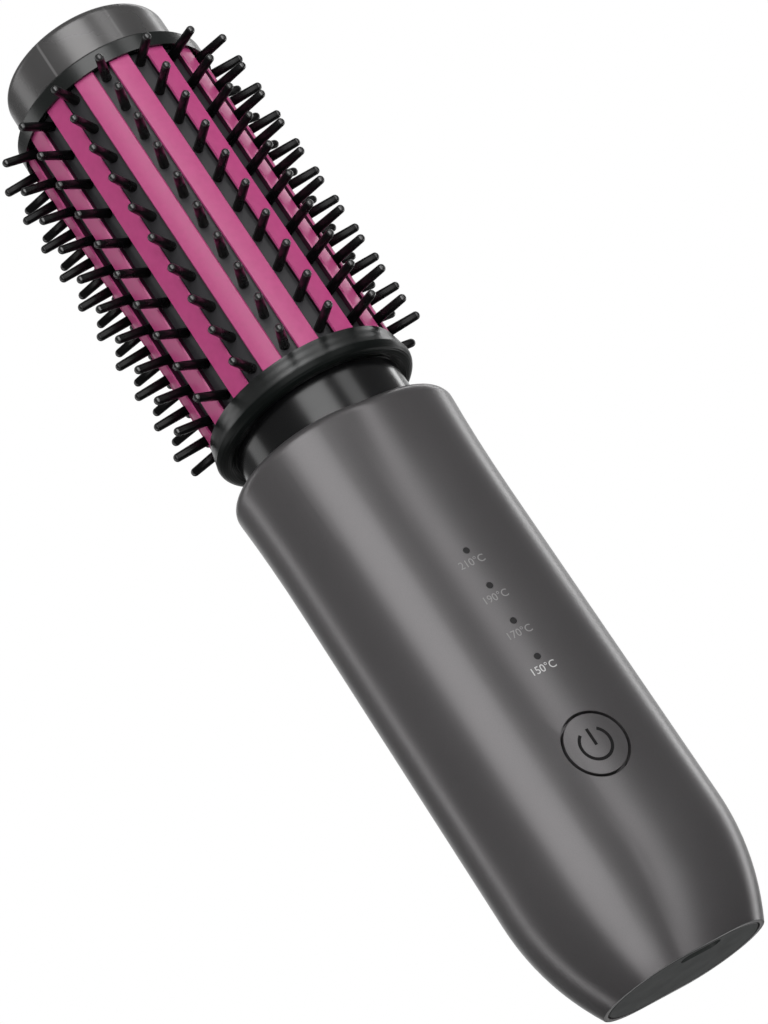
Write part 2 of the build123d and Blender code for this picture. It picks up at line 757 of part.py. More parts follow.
# ------------------------------------------------------------------ heat barrier and heater
# Two aluminium half extrusions squeeze the heating plate between them and pass its heat on to the
# barrel. They stand on an insulating disc and are screwed to the flange below and the tip above.
insulator_depth = 7.7  # tip insulator's reach into the barrel
spreader_gap = 0.2
spreader_radius = bore_radius - spreader_gap
spreader_wall = 2.4
spreader_plate = 3.0
spreader_web = 6.4
spreader_bite = 1.0  # how far the plate and the web reach into the wall
spreader_bottom = barrel_bottom
spreader_top = barrel_top - insulator_depth
spreader_length = spreader_top - spreader_bottom
spreader_flat = heater_thickness / 2 + tiny
heater_rise = 2.0
heater_edge = 0.5
heater_bottom = spreader_bottom + heater_rise
with BuildPart() as heat_barrier:
    with BuildSketch(Plane.XY.offset(shelf_top)):
        Circle(barrier_radius)
        with Locations((-lead_x, 0), (lead_x, 0)):
            Circle(lead_radius + lead_clearance, mode=Mode.SUBTRACT)
        with Locations((0, -heater_screw_y), (0, heater_screw_y)):
            Circle(heater_screw_radius + bore_gap, mode=Mode.SUBTRACT)
    extrude(amount=barrier_thickness)
finish(heat_barrier.part, "heat_barrier")

for name, side in (("heat_spreader_front", -1), ("heat_spreader_rear", 1)):
    with BuildPart() as spreader:
        with BuildSketch(Plane.XY.offset(spreader_bottom)):
            Circle(spreader_radius)
            Circle(spreader_radius - spreader_wall, mode=Mode.SUBTRACT)
            with Locations((0, side * (spreader_flat + spreader_plate / 2))):
                Rectangle(2 * (spreader_radius - spreader_bite), spreader_plate)
            with Locations((0, side * (spreader_radius - spreader_bite + spreader_flat) / 2)):
                Rectangle(spreader_web, spreader_radius - spreader_bite - spreader_flat)
            with Locations((0, side * heater_screw_y)):
                Circle(heater_screw_radius + bore_gap, mode=Mode.SUBTRACT)
            with Locations((0, side * (spreader_radius + spreader_flat) / 2)):
                Rectangle(3 * spreader_radius, spreader_radius - spreader_flat, mode=Mode.INTERSECT)
        extrude(amount=spreader_length)
        with BuildSketch(Plane.XY.offset(spreader_bottom)):
            Circle(2 * spreader_radius)
            Circle(barrier_radius - seat_gap, mode=Mode.SUBTRACT)
        extrude(amount=barrel_spigot + seat_gap, mode=Mode.SUBTRACT)
    finish(spreader.part, name)

with BuildPart() as ptc_heater:
    with BuildSketch(Plane.XY.offset(heater_bottom)):
        Rectangle(heater_width, heater_thickness)
    extrude(amount=heater_length)
    chamfer(ptc_heater.edges().filter_by(Axis.Z), heater_edge)
finish(ptc_heater.part, "ptc_heater")

sensor_radius = 1.2
sensor_length = 5.0
sensor_inset = 3.0  # beside the spreaders' webs
sensor_x = spreader_web / 2 + sensor_inset
plate_face = spreader_flat + spreader_plate
with BuildPart() as thermistor:
    with BuildSketch(Plane.XY.offset(heater_bottom + heater_length / 2)):
        with Locations((sensor_x, plate_face + sensor_radius + tiny)):
            Circle(sensor_radius)
    extrude(amount=sensor_length)
finish(thermistor.part, "thermistor")

fuse_radius = 1.9
fuse_rise = 8.0  # above the heater's lower end
fuse_length = 9.0
fuse_wire_radius = 0.5
fuse_wire_length = 3.0  # at each end
with BuildPart() as thermal_fuse:
    with BuildSketch(Plane.XY.offset(heater_bottom + fuse_rise)):
        with Locations((sensor_x, -plate_face - fuse_radius - tiny)):
            Circle(fuse_radius)
    extrude(amount=fuse_length)
    with BuildSketch(Plane.XY.offset(heater_bottom + fuse_rise - fuse_wire_length)):
        with Locations((sensor_x, -plate_face - fuse_radius - tiny)):
            Circle(fuse_wire_radius)
    extrude(amount=fuse_length + 2 * fuse_wire_length)
finish(thermal_fuse.part, "thermal_fuse")

# Two leads run from the heating plate down through the neck to the board's upper edge.
lead_margin = 0.6  # from the chassis plate down to the bend
lead_drop = 2.5
lead_y = (board_front + board_back) / 2
with BuildPart() as heater_leads:
    for side in (-1, 1):
        with BuildLine() as route:
            Polyline(
                (side * lead_x, 0, heater_bottom),
                (side * lead_x, 0, ledge_level - flange_plate - lead_margin),
                (side * lead_x, lead_y, board_top + lead_drop),
                (side * lead_x, lead_y, board_top),
            )
        with BuildSketch(Plane((side * lead_x, 0, heater_bottom), z_dir=(0, 0, -1))):
            Circle(lead_radius)
        sweep(path=route.wires()[0], transition=Transition.RIGHT)
finish(heater_leads.part, "heater_leads")

barrel_screw_length = 12.0
with BuildPart() as barrel_screws:
    with BuildSketch(Plane.XY.offset(shelf_bottom - screw_head)):
        with Locations((0, -heater_screw_y), (0, heater_screw_y)):
            Circle(heater_screw_head)
    extrude(amount=screw_head)
    with BuildSketch(Plane.XY.offset(shelf_bottom)):
        with Locations((0, -heater_screw_y), (0, heater_screw_y)):
            Circle(heater_screw_radius - tiny)
    extrude(amount=barrel_screw_length)
finish(barrel_screws.part, "barrel_screws")

# ------------------------------------------------------------------ tip ring
# Shoulder ring that closes the slots at the tip end. Its skirt covers the rib ends, and its collar
# carries the cap.
ring_radius = barrel_radius + ring_overhang
ring_web = 2.0
ring_spigot = 4.0
ring_wall = 1.55
ring_bore = bore_radius - slide_gap - ring_wall
collar_radius = cap_radius - cap_wall - slide_gap
collar_wall = 1.4
collar_rise = 5.0
with BuildPart() as tip_ring:
    with BuildSketch(Plane.XZ):
        with BuildLine():
            Polyline(
                (ring_radius, barrel_top - ring_skirt),
                (ring_radius, barrel_top + ring_rim),
                (ring_radius - ring_bevel, barrel_top + ring_rim + ring_bevel),
                (cap_radius + mouth_gap, cap_base),
                (collar_radius, cap_base),
                (collar_radius, cap_base + collar_rise),
                (collar_radius - collar_wall, cap_base + collar_rise),
                (collar_radius - collar_wall, barrel_top + ring_web),
                (ring_bore, barrel_top + ring_web),
                (ring_bore, barrel_top - ring_spigot),
                (bore_radius - slide_gap, barrel_top - ring_spigot),
                (bore_radius - slide_gap, barrel_top),
                (barrel_radius + slide_gap, barrel_top),
                (barrel_radius + slide_gap, barrel_top - ring_skirt),
                close=True,
            )
        make_face()
    revolve(axis=Axis.Z)
finish(tip_ring.part, "tip_ring")

# ------------------------------------------------------------------ tip insulator and screws
insulator_flange = 2.5
insulator_top = barrel_top + ring_web + insulator_flange
tip_screw_bite = 8.0  # how deep the tip screws go into the spreaders
with BuildPart() as tip_insulator:
    with BuildSketch(Plane.XY.offset(spreader_top)):
        Circle(ring_bore - slide_gap)
        with Locations((0, -heater_screw_y), (0, heater_screw_y)):
            Circle(heater_screw_radius + bore_gap, mode=Mode.SUBTRACT)
    extrude(amount=insulator_depth + ring_web)
    with BuildSketch(Plane.XY.offset(barrel_top + ring_web)):
        Circle(collar_radius - collar_wall - slide_gap)
        with Locations((0, -heater_screw_y), (0, heater_screw_y)):
            Circle(heater_screw_radius + bore_gap, mode=Mode.SUBTRACT)
    extrude(amount=insulator_flange)
finish(tip_insulator.part, "tip_insulator")

with BuildPart() as tip_screws:
    with BuildSketch(Plane.XY.offset(insulator_top)):
        with Locations((0, -heater_screw_y), (0, heater_screw_y)):
            Circle(heater_screw_head)
    extrude(amount=screw_head)
    with BuildSketch(Plane.XY.offset(insulator_top)):
        with Locations((0, -heater_screw_y), (0, heater_screw_y)):
            Circle(heater_screw_radius - tiny)
    extrude(amount=spreader_top - insulator_top - tip_screw_bite)
finish(tip_screws.part, "tip_screws")

# ------------------------------------------------------------------ cool tip cap
# Thin-walled cup pushed over the ring's collar, to hold while the barrel is hot.
with BuildPart() as cool_tip_cap:
    with BuildSketch(Plane.XY.offset(cap_base)):
        Circle(cap_radius)
    extrude(amount=cap_height)
    fillet(cool_tip_cap.faces().sort_by(Axis.Z)[-1].edges(), radius=cap_round)
    with BuildSketch(Plane.XY.offset(cap_base)):
        Circle(cap_radius - cap_wall)
    extrude(amount=cap_height - cap_round, mode=Mode.SUBTRACT)
finish(cool_tip_cap.part, "cool_tip_cap")
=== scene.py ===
import json
import math
from types import SimpleNamespace

import bmesh
import bpy
from mathutils import Matrix, Quaternion, Vector

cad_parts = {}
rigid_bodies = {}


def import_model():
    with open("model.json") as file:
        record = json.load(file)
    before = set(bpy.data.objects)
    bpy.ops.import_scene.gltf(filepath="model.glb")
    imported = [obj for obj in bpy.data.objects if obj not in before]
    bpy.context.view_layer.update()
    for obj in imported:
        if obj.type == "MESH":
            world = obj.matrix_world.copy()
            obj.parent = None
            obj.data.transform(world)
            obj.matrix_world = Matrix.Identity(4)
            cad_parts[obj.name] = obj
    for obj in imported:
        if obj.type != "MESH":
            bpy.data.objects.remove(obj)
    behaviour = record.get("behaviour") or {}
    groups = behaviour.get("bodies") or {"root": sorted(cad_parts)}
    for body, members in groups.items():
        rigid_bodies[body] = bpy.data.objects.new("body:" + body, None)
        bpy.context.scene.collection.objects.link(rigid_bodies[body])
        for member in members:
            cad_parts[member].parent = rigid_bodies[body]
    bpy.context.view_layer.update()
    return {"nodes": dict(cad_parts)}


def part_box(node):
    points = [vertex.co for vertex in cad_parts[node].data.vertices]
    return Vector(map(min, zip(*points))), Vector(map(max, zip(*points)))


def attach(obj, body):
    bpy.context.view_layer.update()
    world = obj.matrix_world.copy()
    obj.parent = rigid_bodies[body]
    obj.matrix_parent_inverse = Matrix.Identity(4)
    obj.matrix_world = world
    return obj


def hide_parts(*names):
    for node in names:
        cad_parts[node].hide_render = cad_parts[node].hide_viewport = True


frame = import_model()
nodes = frame["nodes"]
mm = 0.001

# ------------------------------------------------------------------ handle sleeve
# One seamless moulding in filled nylon, sprayed with a dark metallic satin lacquer. The neck stands
# in its open mouth and the end plate closes the bottom. The flats at front and back have a slight
# crown, steeper toward the mouth, which only the lacquer's bump shows.


def screen(red, green, blue):
    """A colour by its screen values, 0 to 255, as a shader socket takes it."""
    levels = [value / 255 for value in (red, green, blue)]
    linear = [v / 12.92 if v <= 0.04045 else ((v + 0.055) / 1.055) ** 2.4 for v in levels]
    return (*linear, 1.0)


def scaled(colour, factor):
    """The same hue, lighter or darker."""
    return (*[min(channel * factor, 1.0) for channel in colour[:3]], 1.0)


def add_node(tree, kind, sockets=None, **settings):
    """Adds a node; a socket is filled with a value or linked to another node's output."""
    made = tree.nodes.new(kind)
    for key, value in settings.items():
        setattr(made, key, value)
    for key, value in (sockets or {}).items():
        if isinstance(value, bpy.types.NodeSocket):
            tree.links.new(value, made.inputs[key])
        else:
            made.inputs[key].default_value = value
    return made


def blend_colours(tree, factor, first, second):
    """The output that goes from the first colour to the second as the factor goes from 0 to 1."""
    mix = add_node(tree, "ShaderNodeMix", {0: factor, 6: first, 7: second}, data_type="RGBA")
    return mix.outputs[2]


def worked_out(tree, operation, first, second=0.0):
    """The output of one sum on two values."""
    return add_node(tree, "ShaderNodeMath", {0: first, 1: second}, operation=operation).outputs[0]


def ramp(tree, value, start, end, low=0.0, high=1.0):
    """The output that goes from low to high, and no further, as the value goes from start to end."""
    sockets = {"Value": value, "From Min": start, "From Max": end, "To Min": low, "To Max": high}
    return add_node(tree, "ShaderNodeMapRange", sockets).outputs["Result"]


def soft_ramp(tree, value, start, end, low=0.0, high=1.0):
    """The square of a ramp, which sets in or dies out gently at its low end."""
    return worked_out(tree, "POWER", ramp(tree, value, start, end, low, high), 2.0)


drift_low, drift_high = 0.3, 0.7  # between these lies most of the slow noise


def finish(
    name, colour, roughness, metallic=0.0, tone=0.07, cloud=70.0, gloss=0.05, grain=2600.0, depth=0.006
):
    """A surface whose tone and gloss drift slowly over the piece, under a fine grain of that depth in mm."""
    material = bpy.data.materials.new(name)
    material.use_nodes = True
    tree = material.node_tree
    shader = tree.nodes["Principled BSDF"]
    shader.inputs["Metallic"].default_value = metallic
    place = add_node(tree, "ShaderNodeTexCoord").outputs["Object"]
    drift = add_node(tree, "ShaderNodeTexNoise", {"Vector": place, "Scale": cloud, "Detail": 4.0})
    tint = blend_colours(tree, drift.outputs["Fac"], scaled(colour, 1 - tone), scaled(colour, 1 + tone))
    speckle = add_node(tree, "ShaderNodeTexNoise", {"Vector": place, "Scale": grain, "Detail": 2.0})
    smoother, rougher = roughness - gloss, roughness + gloss
    rough = ramp(tree, drift.outputs["Fac"], drift_low, drift_high, smoother, rougher)
    height = {"Height": speckle.outputs["Fac"], "Distance": depth * mm, "Strength": 1.0}
    bump = add_node(tree, "ShaderNodeBump", height)
    tree.links.new(tint, shader.inputs["Base Color"])
    tree.links.new(rough, shader.inputs["Roughness"])
    tree.links.new(bump.outputs["Normal"], shader.inputs["Normal"])
    return SimpleNamespace(material=material, tree=tree, shader=shader, place=place, tint=tint, bump=bump)


def dress(surface, *names):
    """Gives CAD nodes their finish."""
    for name in names:
        nodes[name].material_slots[0].material = surface.material


def along(surface, axis):
    """The output with a point's place along an axis of the brush, in metres."""
    return add_node(surface.tree, "ShaderNodeSeparateXYZ", {0: surface.place}).outputs[axis]


lacquer = screen(88, 86, 87)
handle_coat = finish(
    "handle_coat", lacquer, 0.3, metallic=0.5, tone=0.05, cloud=45.0, gloss=0.02, depth=0.002
)
coat_tree = handle_coat.tree
flakes_in_metre = 5200.0  # grains of metal in the lacquer
flake_middle, flake_edge = 0.1, 0.7  # of a flake's width
bright_flake, dark_flake = scaled(lacquer, 1.12), scaled(lacquer, 0.92)
flake_share = 0.5  # of the tint that the flakes give
flakes = {"Vector": handle_coat.place, "Scale": flakes_in_metre}
from_flake = add_node(coat_tree, "ShaderNodeTexVoronoi", flakes).outputs["Distance"]
flaked = blend_colours(
    coat_tree, ramp(coat_tree, from_flake, flake_middle, flake_edge), bright_flake, dark_flake
)
coat_tint = blend_colours(coat_tree, flake_share, handle_coat.tint, flaked)
coat_tree.links.new(coat_tint, handle_coat.shader.inputs["Base Color"])

# The crown's slope grows evenly from the middle to the flat's edge and dies out on the round side.
front_half = 5.2 * mm  # of the flat front, each side of the middle
crown_reach = 12.0 * mm  # from the middle
crown_slope = 0.12  # at the edge of the flat
crown_growth = 2.0  # times as steep at the mouth
growth_start, growth_full = 100 * mm, 130 * mm  # heights
from_middle = worked_out(coat_tree, "ABSOLUTE", along(handle_coat, "X"))
on_flat = soft_ramp(coat_tree, from_middle, 0.0, front_half)
beside = soft_ramp(coat_tree, from_middle, front_half, crown_reach, 1.0, 0.0)
beside_share = worked_out(coat_tree, "MULTIPLY", beside, (crown_reach - front_half) / front_half)
crown_rise = worked_out(coat_tree, "SUBTRACT", beside_share, on_flat)
toward_mouth = soft_ramp(coat_tree, along(handle_coat, "Z"), growth_start, growth_full)
growth = ramp(coat_tree, toward_mouth, 0.0, 1.0, 1.0, crown_growth)
crown_height = worked_out(coat_tree, "MULTIPLY", crown_rise, growth)
crown_bump = {"Height": crown_height, "Distance": crown_slope * front_half / 2, "Strength": 1.0}
crown = add_node(coat_tree, "ShaderNodeBump", crown_bump)

# A small slope from the flat's edge outwards, which soon dies out, eases the line between the two.
edge_slope, edge_width = 0.036, 2.14 * mm
edge_dip = soft_ramp(coat_tree, from_middle, front_half, front_half + edge_width, 1.0, 0.0)
edge_height = worked_out(coat_tree, "MULTIPLY", edge_dip, -1.0)
edge_bump = {"Height": edge_height, "Distance": edge_slope * edge_width / 2, "Strength": 1.0}
eased = add_node(coat_tree, "ShaderNodeBump", {**edge_bump, "Normal": crown.outputs["Normal"]})
coat_tree.links.new(eased.outputs["Normal"], handle_coat.bump.inputs["Normal"])
dress(handle_coat, "handle_sleeve")

# ------------------------------------------------------------------ printed temperatures
# One line of pale pad print under each indicator. The lowest line is the freshest, the others have
# been rubbed faint by the hand that holds the brush.
belly_radius, belly_height = 20.4 * mm, 26.0 * mm  # from the axis to the flat front
waist_radius, waist_height = 20.5 * mm, 103.1 * mm
readings = ("150", "170", "190", "210")
print_height = 1.65 * mm
capital_share = 0.7  # of the size of type, which a capital's height takes
print_thickness = 0.05 * mm
print_offset = -0.4 * mm
print_drop = 3.45 * mm  # below the middle of its indicator
light_height, light_pitch = 63.7 * mm, 8.75 * mm
rubbed_start, rubbed_full = 2 * mm, 5 * mm  # above the lowest line
fresh_print, faint_print = screen(182, 182, 182), screen(126, 125, 125)
face_slope = (belly_radius - waist_radius) / (waist_height - belly_height)


def face_depth(height):
    """How far the handle's flat front stands before the axis at a height."""
    return belly_radius - face_slope * (height - belly_height)


def on_front(height, sideways=0.0):
    """Puts what was drawn in the XY plane on the handle's front at a height, upright and facing out."""
    lean = math.atan(face_slope)
    spot = Matrix.Translation((sideways, -face_depth(height), height))
    return spot @ Matrix.Rotation(math.radians(90) - lean, 4, "X")


def place_mesh(name, mesh, body, *materials):
    """Makes a piece from a finished mesh, with its finishes, riding on a body."""
    for material in materials:
        mesh.materials.append(material)
    piece = bpy.data.objects.new(name, mesh)
    bpy.context.scene.collection.objects.link(piece)
    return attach(piece, body)


print_ink = finish("print_ink", fresh_print, 0.6, cloud=900.0, depth=0.004)
lowest_line = light_height - print_drop
rubbed_from, rubbed_to = lowest_line + rubbed_start, lowest_line + rubbed_full
rubbed = ramp(print_ink.tree, along(print_ink, "Z"), rubbed_from, rubbed_to)
worn_ink = blend_colours(print_ink.tree, rubbed, fresh_print, faint_print)
print_ink.tree.links.new(worn_ink, print_ink.shader.inputs["Base Color"])
for step, reading in enumerate(readings):
    line = bpy.data.curves.new("line", "FONT")
    line.body = reading + "°C"
    line.size = print_height / capital_share
    line.align_x = "CENTER"
    line.extrude = print_thickness / 2
    drawn = bpy.data.objects.new("line", line)
    bpy.context.scene.collection.objects.link(drawn)
    bpy.context.view_layer.update()
    text = bpy.data.meshes.new_from_object(drawn)
    bpy.data.objects.remove(drawn)
    text.transform(on_front(lowest_line + step * light_pitch, print_offset))
    label = place_mesh("temperature_" + reading, text, "brush", print_ink.material)

# ------------------------------------------------------------------ power button
# The button is sprayed with the handle and follows its face. The on-off symbol is laser cut through
# the lacquer, which leaves a fine dark line.
symbol_radius = 3.35 * mm
symbol_steps = 48
symbol_line = 0.67 * mm
symbol_gap = math.radians(36)  # each side of the bar
bar_foot, bar_top = -0.3 * mm, 3.45 * mm
symbol_height = 42.7 * mm
symbol_proud = 0.02 * mm
symbol_depth = 0.1 * mm
dress(handle_coat, "power_button")
symbol = bmesh.new()
line_end = bmesh.ops.create_grid(symbol, x_segments=1, y_segments=1, size=0.5)["verts"]
bmesh.ops.scale(symbol, vec=(symbol_line, symbol_depth, 1), verts=line_end)
bmesh.ops.rotate(symbol, matrix=Matrix.Rotation(math.radians(90), 3, "X"), verts=line_end)
bmesh.ops.translate(symbol, vec=(symbol_radius, 0, 0), verts=line_end)
bmesh.ops.rotate(
    symbol, matrix=Matrix.Rotation(math.radians(90) + symbol_gap, 3, "Z"), verts=line_end
)
bmesh.ops.spin(
    symbol,
    geom=symbol.verts[:] + symbol.edges[:] + symbol.faces[:],
    cent=(0, 0, 0),
    axis=(0, 0, 1),
    angle=math.tau - 2 * symbol_gap,
    steps=symbol_steps,
)
bar = bmesh.ops.create_cube(symbol, size=1.0)["verts"]
bmesh.ops.scale(symbol, vec=(symbol_line, bar_top - bar_foot, symbol_depth), verts=bar)
bmesh.ops.translate(symbol, vec=(0, (bar_top + bar_foot) / 2, 0), verts=bar)
bmesh.ops.translate(symbol, vec=(0, 0, symbol_proud - symbol_depth / 2), verts=symbol.verts)
bmesh.ops.recalc_face_normals(symbol, faces=symbol.faces)
symbol.transform(on_front(symbol_height))
symbol_mesh = bpy.data.meshes.new("power_symbol")
symbol.to_mesh(symbol_mesh)
symbol.free()
laser_cut = finish("laser_cut", screen(18, 17, 18), 0.7, tone=0.15, cloud=800.0)
laser_cut.shader.inputs["Specular IOR Level"].default_value = 0.2
place_mesh("power_symbol", symbol_mesh, "button", laser_cut.material)

# ------------------------------------------------------------------ end plate and charging socket
# A flat dark plate snaps into the bottom. The socket behind its slot is a pressed steel shell with
# a contact tongue, soldered to the board.
end_grey = finish("end_grey", screen(38, 41, 40), 0.5, tone=0.12, cloud=160.0, grain=3800.0, depth=0.01)
dress(end_grey, "end_plate")
plated = finish("plated_steel", screen(150, 150, 148), 0.3, metallic=1.0, tone=0.1, depth=0.002)
dress(plated, "charging_socket", "board_screws", "neck_screws", "barrel_screws", "tip_screws", "cell_tabs")

# ------------------------------------------------------------------ carrier, cells and board
# Under the sleeve a moulded carrier holds two wrapped cells and the circuit board, with the switch,
# the four lamps and the clear light guide on it.
carrier = finish("inner_plastic", screen(40, 41, 43), 0.55, tone=0.1, depth=0.008)
dress(carrier, "chassis", "switch_housing", "board_components")
cell_wrap = finish("cell_wrap", screen(44, 92, 122), 0.35, tone=0.1, cloud=120.0)
dress(cell_wrap, "battery_cell_left", "battery_cell_right")
board = finish("circuit_board", screen(22, 74, 48), 0.4, tone=0.2, cloud=420.0, gloss=0.1)
dress(board, "main_board")
lamp = finish("led_lens", screen(226, 224, 206), 0.25, tone=0.04)
dress(lamp, "status_leds")
plunger = finish("plunger_nylon", screen(196, 178, 142), 0.45, tone=0.06)
dress(plunger, "switch_plunger")
smoked = finish("light_pipe", screen(30, 29, 30), 0.45, tone=0.1, depth=0.001)
smoked.shader.inputs["Specular IOR Level"].default_value = 0.25
dress(smoked, "light_guide")

# ------------------------------------------------------------------ neck collar and seal
# The neck is a glossy black moulding, polished in its mould. A rubber ring seals it in the mouth
# of the handle.
neck_gloss = finish("neck_gloss", screen(10, 10, 11), 0.2, tone=0.1, gloss=0.03, depth=0.0008)
neck_gloss.shader.inputs["Specular IOR Level"].default_value = 0.58
dress(neck_gloss, "neck_collar")
seal = finish("seal_rubber", screen(22, 22, 22), 0.75, tone=0.1, grain=4000.0, depth=0.01)
dress(seal, "neck_seal")

# ------------------------------------------------------------------ lower flange
# Heat-proof moulding with a satin bevel above its rim. The rounded underside is duller and still
# shows the fine turned lines of its mould.
rim_level = 140.3 * mm
bevel_start, bevel_full = rim_level - 0.1 * mm, rim_level + 0.5 * mm
underside_gloss, bevel_gloss = 0.1, 0.85
turned_pitch, turned_depth, turned_strength = 0.45 * mm, 0.02 * mm, 0.7


def radius_output(surface):
    """The output with a point's distance from the brush's axis, in metres."""
    flattened = {0: surface.place, 1: (1, 1, 0)}
    flat = add_node(surface.tree, "ShaderNodeVectorMath", flattened, operation="MULTIPLY").outputs[0]
    return add_node(surface.tree, "ShaderNodeVectorMath", {0: flat}, operation="LENGTH").outputs["Value"]


flange_black = finish("flange_black", screen(13, 16, 15), 0.32, tone=0.15, gloss=0.03, depth=0.002)
flange_tree = flange_black.tree
flange_gloss = ramp(
    flange_tree, along(flange_black, "Z"), bevel_start, bevel_full, underside_gloss, bevel_gloss
)
flange_tree.links.new(flange_gloss, flange_black.shader.inputs["Specular IOR Level"])
turned = worked_out(flange_tree, "MULTIPLY", radius_output(flange_black), math.tau / turned_pitch)
turned_lines = {
    "Height": worked_out(flange_tree, "SINE", turned),
    "Distance": turned_depth,
    "Strength": turned_strength,
    "Normal": flange_black.bump.outputs["Normal"],
}
turned_bump = add_node(flange_tree, "ShaderNodeBump", turned_lines)
flange_tree.links.new(turned_bump.outputs["Normal"], flange_black.shader.inputs["Normal"])
dress(flange_black, "lower_flange")

# ------------------------------------------------------------------ heating barrel
# Aluminium extrusion. The rib tops are sprayed with a coloured ceramic that has a fine speckle. The flanks
# and the slots between them are painted dark plum, as painted shade in the recesses between the ribs.
rib_top = 22.6 * mm
flank_end, top_start = rib_top - 0.42 * mm, rib_top - 0.30 * mm
ceramic, flank_painted_shade = screen(169, 62, 115), screen(52, 16, 36)
rib_coat = finish("rib_coat", ceramic, 0.38, tone=0.1, cloud=800.0, grain=1900.0, depth=0.012)
# Painted shade: below the rib tops, on the flanks and slot floors, the ceramic turns dark plum.
on_top = ramp(rib_coat.tree, radius_output(rib_coat), flank_end, top_start)
rib_tint = blend_colours(rib_coat.tree, on_top, flank_painted_shade, rib_coat.tint)
rib_coat.tree.links.new(rib_tint, rib_coat.shader.inputs["Base Color"])
dress(rib_coat, "heating_barrel")

# ------------------------------------------------------------------ bristle rows
# Sixteen dovetail strips of grey heat-proof nylon slide into the slots; their grey is painted darker, as
# painted shade cast by the bristles. Each carries ten black bristles, tapered and with rounded tips that are
# kind to the scalp.
row_count = 16
strip_floor, strip_face = 19.75 * mm, 21.0 * mm  # from the brush's axis
strip_foot, strip_half = 2.388 * mm, 2.075 * mm  # half widths, at the floor and at the face
bristle_foot, bristle_tip = 1.12 * mm, 0.94 * mm  # radii
bristle_end = 30.4 * mm  # from the brush's axis
bristle_round, round_steps = 0.85 * mm, 4
bristle_sides = 12
bristle_count = 10  # in a row
lowest_bristle, bristle_pitch = 147.6 * mm, 8.38 * mm
strip_section = [
    (strip_floor, -strip_foot),
    (strip_face, -strip_half),
    (strip_face, strip_half),
    (strip_floor, strip_foot),
]
slack = 0.1 * mm  # for telling a face or an edge from its neighbours
shaft_part, tip_part = 1, 2  # places in bristle_finishes
# The strips' grey nylon colour is darkened here as painted shade from the bristles.
strip_grey = finish("strip_grey", screen(40, 39, 42), 0.5, tone=0.1, cloud=300.0, depth=0.01)
bristle_black = screen(9, 9, 10)
shaft_black = finish("shaft_black", bristle_black, 0.3, tone=0.15, cloud=400.0, depth=0.004)
shaft_black.shader.inputs["Specular IOR Level"].default_value = 0.2
tip_black = finish("tip_black", bristle_black, 0.3, tone=0.15, cloud=400.0, depth=0.004)
tip_black.shader.inputs["Specular IOR Level"].default_value = 1.0
bristle_finishes = (strip_grey.material, shaft_black.material, tip_black.material)
for row in range(row_count):
    name = f"bristle_row_{row + 1:02d}"
    low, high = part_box(name)
    strip = bmesh.new()
    foot = strip.faces.new([strip.verts.new((x, y, low.z)) for x, y in strip_section])
    top = bmesh.ops.extrude_face_region(strip, geom=[foot])["geom"]
    risen = [part for part in top if isinstance(part, bmesh.types.BMVert)]
    bmesh.ops.translate(strip, vec=(0, 0, high.z - low.z), verts=risen)
    bmesh.ops.recalc_face_normals(strip, faces=strip.faces)
    for step in range(bristle_count):
        level = lowest_bristle + step * bristle_pitch
        middle = Matrix.Translation(((strip_face + bristle_end) / 2, 0, level))
        bmesh.ops.create_cone(
            strip,
            cap_ends=True,
            segments=bristle_sides,
            radius1=bristle_foot,
            radius2=bristle_tip,
            depth=bristle_end - strip_face,
            matrix=middle @ Matrix.Rotation(math.radians(90), 4, "Y"),
        )
    ends = [edge for edge in strip.edges if min(v.co.x for v in edge.verts) > bristle_end - slack]
    bmesh.ops.bevel(
        strip,
        geom=ends,
        offset=bristle_round,
        affect="EDGES",
        segments=round_steps,
        profile=0.5,
        material=-1,
    )
    for face in strip.faces:
        outward = face.calc_center_median().x
        if outward > strip_face + slack:
            face.smooth = True
            face.material_index = tip_part if outward > bristle_end - bristle_round else shaft_part
    strip.transform(Matrix.Rotation(math.radians(360 * row / row_count - 90), 4, "Z"))
    mesh = bpy.data.meshes.new(name)
    strip.to_mesh(mesh)
    strip.free()
    bristles = place_mesh("bristles_" + name[-2:], mesh, "brush", *bristle_finishes)
    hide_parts(name)

# ------------------------------------------------------------------ heater inside the barrel
# A ceramic heating plate squeezed between two bare aluminium halves, with its sensor, fuse and
# leads, on an insulating disc.
bare_aluminium = finish("bare_aluminium", screen(176, 177, 178), 0.35, metallic=1.0, tone=0.06, gloss=0.08)
dress(bare_aluminium, "heat_spreader_front", "heat_spreader_rear")
heater = finish("heater_ceramic", screen(178, 122, 62), 0.5, tone=0.12)
dress(heater, "ptc_heater")
insulator = finish("heat_insulator", screen(190, 180, 160), 0.7, tone=0.12, depth=0.02)
dress(insulator, "heat_barrier", "tip_insulator")
sensor = finish("sensor_glass", screen(150, 128, 92), 0.2, tone=0.05)
dress(sensor, "thermistor", "thermal_fuse")
sleeving = finish("lead_sleeve", screen(168, 60, 52), 0.5, tone=0.08)
dress(sleeving, "heater_leads")

# ------------------------------------------------------------------ tip ring
# Heat-proof moulding in the flange's satin black, which closes the slots at the tip. Two screws
# through the insulator above it hold it to the heat spreaders.
ring_black = finish("ring_black", screen(15, 18, 17), 0.26, tone=0.15, gloss=0.03, depth=0.002)
ring_black.shader.inputs["Specular IOR Level"].default_value = 0.6
dress(ring_black, "tip_ring")
